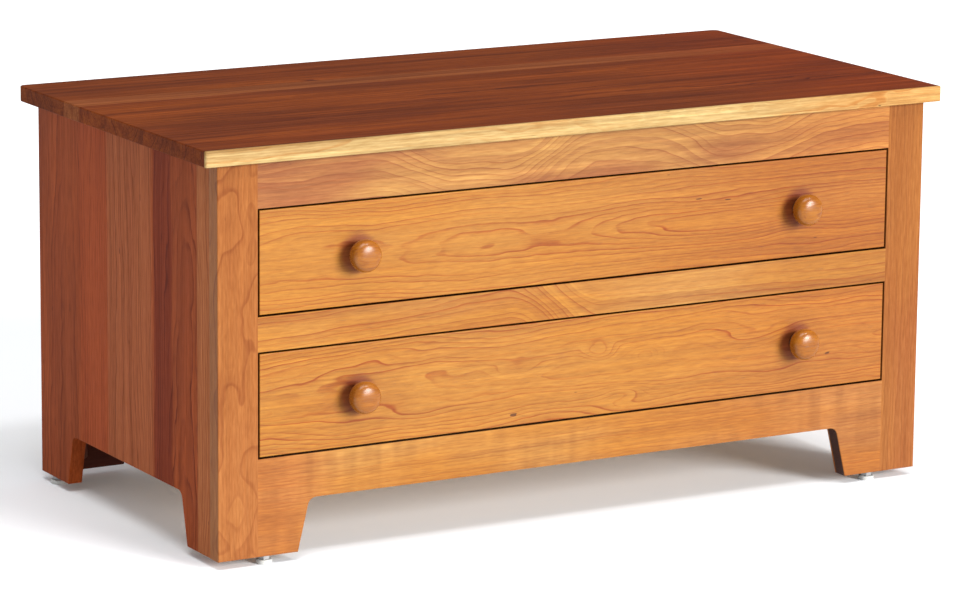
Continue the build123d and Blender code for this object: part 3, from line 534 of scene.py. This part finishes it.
# Dark cherry for the corner blocks: painted shade where they show through the foot gaps
blocks = wood("cherry_blocks", Grain(Z, X, 0.0, pith=(0.3, 0.2), seed=83.0), BLOCK)

# Metal and plastic
steel = plain("zinc_steel", (0.60, 0.60, 0.58), 0.34, metallic=1.0)
brass = plain("turned_brass", (0.78, 0.60, 0.30), 0.28, metallic=1.0)
nylon = plain("pale_nylon", (0.50, 0.50, 0.48), 0.48, grit=600.0, wear=0.10)
stem_steel = plain("stem_steel", (0.30, 0.30, 0.30), 0.40, metallic=1.0)


def material_for(node, slot):
    """The material of a CAD node: its own, or the one its record slot asks for."""
    if node in materials:
        return materials[node]
    if node.startswith("corner_block"):
        return blocks
    if slot == "maple_drawer":
        return maple_x if node.endswith("_back") else maple_y
    if slot == "maple_inner":
        return maple_x if node.startswith("rear") else maple_y
    if slot == "plywood":
        return ply_back if node == "back_panel" else ply_x
    by_slot = {"steel_screw": steel, "steel_stem": stem_steel, "brass_insert": brass, "leveller_pad": nylon}
    return by_slot[slot]


slots = {entry["node"]: entry["material_slot"] for entry in frame["record"]["subparts"]}
for node, piece in frame["nodes"].items():
    piece.data.materials.clear()
    piece.data.materials.append(material_for(node, slots[node]))

# Floor
FLOOR_SIZE = 60
floor_tree = Tree("studio_floor")
speck = floor_tree.noise(floor_tree.place, 3.0, 3.0)
floor_tree.put(
    floor_tree.shader.inputs["Base Color"],
    floor_tree.ramp(speck, ((0.3, (0.885, 0.90, 0.925)), (0.7, (0.90, 0.915, 0.94)))),
)
floor_tree.shader.inputs["Emission Color"].default_value = (0.9, 0.97, 1.0, 1.0)
floor_tree.shader.inputs["Emission Strength"].default_value = 0.06
floor_tree.shader.inputs["Roughness"].default_value = 0.9
floor_tree.shader.inputs["Specular IOR Level"].default_value = 0.0
bpy.ops.mesh.primitive_plane_add(size=FLOOR_SIZE, location=(0, 0, 0))
floor = bpy.context.object
floor.name = "floor"
floor.data.materials.append(floor_tree.material)


LAMP_DISTANCE = 6


def distant_light(name, azimuth, elevation, spread, strength, color):
    """A far, soft light, azimuth degrees to the right of the chest's front."""
    around, up = math.radians(azimuth), math.radians(elevation)
    away = Vector((math.sin(around) * math.cos(up), -math.cos(around) * math.cos(up), math.sin(up)))
    light = bpy.data.lights.new(name, "SUN")
    light.angle = math.radians(spread)
    light.energy = strength
    light.color = color
    lamp = bpy.data.objects.new(name, light)
    turned = away.to_track_quat("Z", "Y").to_matrix().to_4x4()
    lamp.matrix_world = Matrix.Translation(away * LAMP_DISTANCE) @ turned
    bpy.context.scene.collection.objects.link(lamp)


distant_light("key", azimuth=22, elevation=16, spread=26, strength=5.0, color=(1.0, 0.99, 0.97))
distant_light("upper_fill", azimuth=30, elevation=58, spread=8, strength=0.6, color=(1.0, 0.99, 0.98))
distant_light("high_fill", azimuth=-30, elevation=70, spread=30, strength=1.5, color=(1.0, 1.0, 1.0))

world = bpy.data.worlds.new("studio")
bpy.context.scene.world = world
world.use_nodes = True
background = world.node_tree.nodes["Background"]
background.inputs["Color"].default_value = (0.96, 0.98, 1.0, 1.0)
background.inputs["Strength"].default_value = 0.45

# Camera, from the front left, a little above the top
EYE = (-2.866, -4.979, 1.466)
yaw, pitch, roll = math.radians(29.87), math.radians(12.05), math.radians(0.526)
camera_data = bpy.data.cameras.new("camera")
camera_data.lens = 170.5
camera_data.sensor_width = 36
camera_data.clip_end = 200
camera = bpy.data.objects.new("camera", camera_data)
camera.matrix_world = (
    Matrix.Translation(EYE)
    @ Matrix.Rotation(-yaw, 4, "Z")
    @ Matrix.Rotation(math.pi / 2 - pitch, 4, "X")
    @ Matrix.Rotation(roll, 4, "Z")
)
bpy.context.scene.collection.objects.link(camera)
bpy.context.scene.camera = camera
bpy.context.scene.view_settings.view_transform = "Standard"
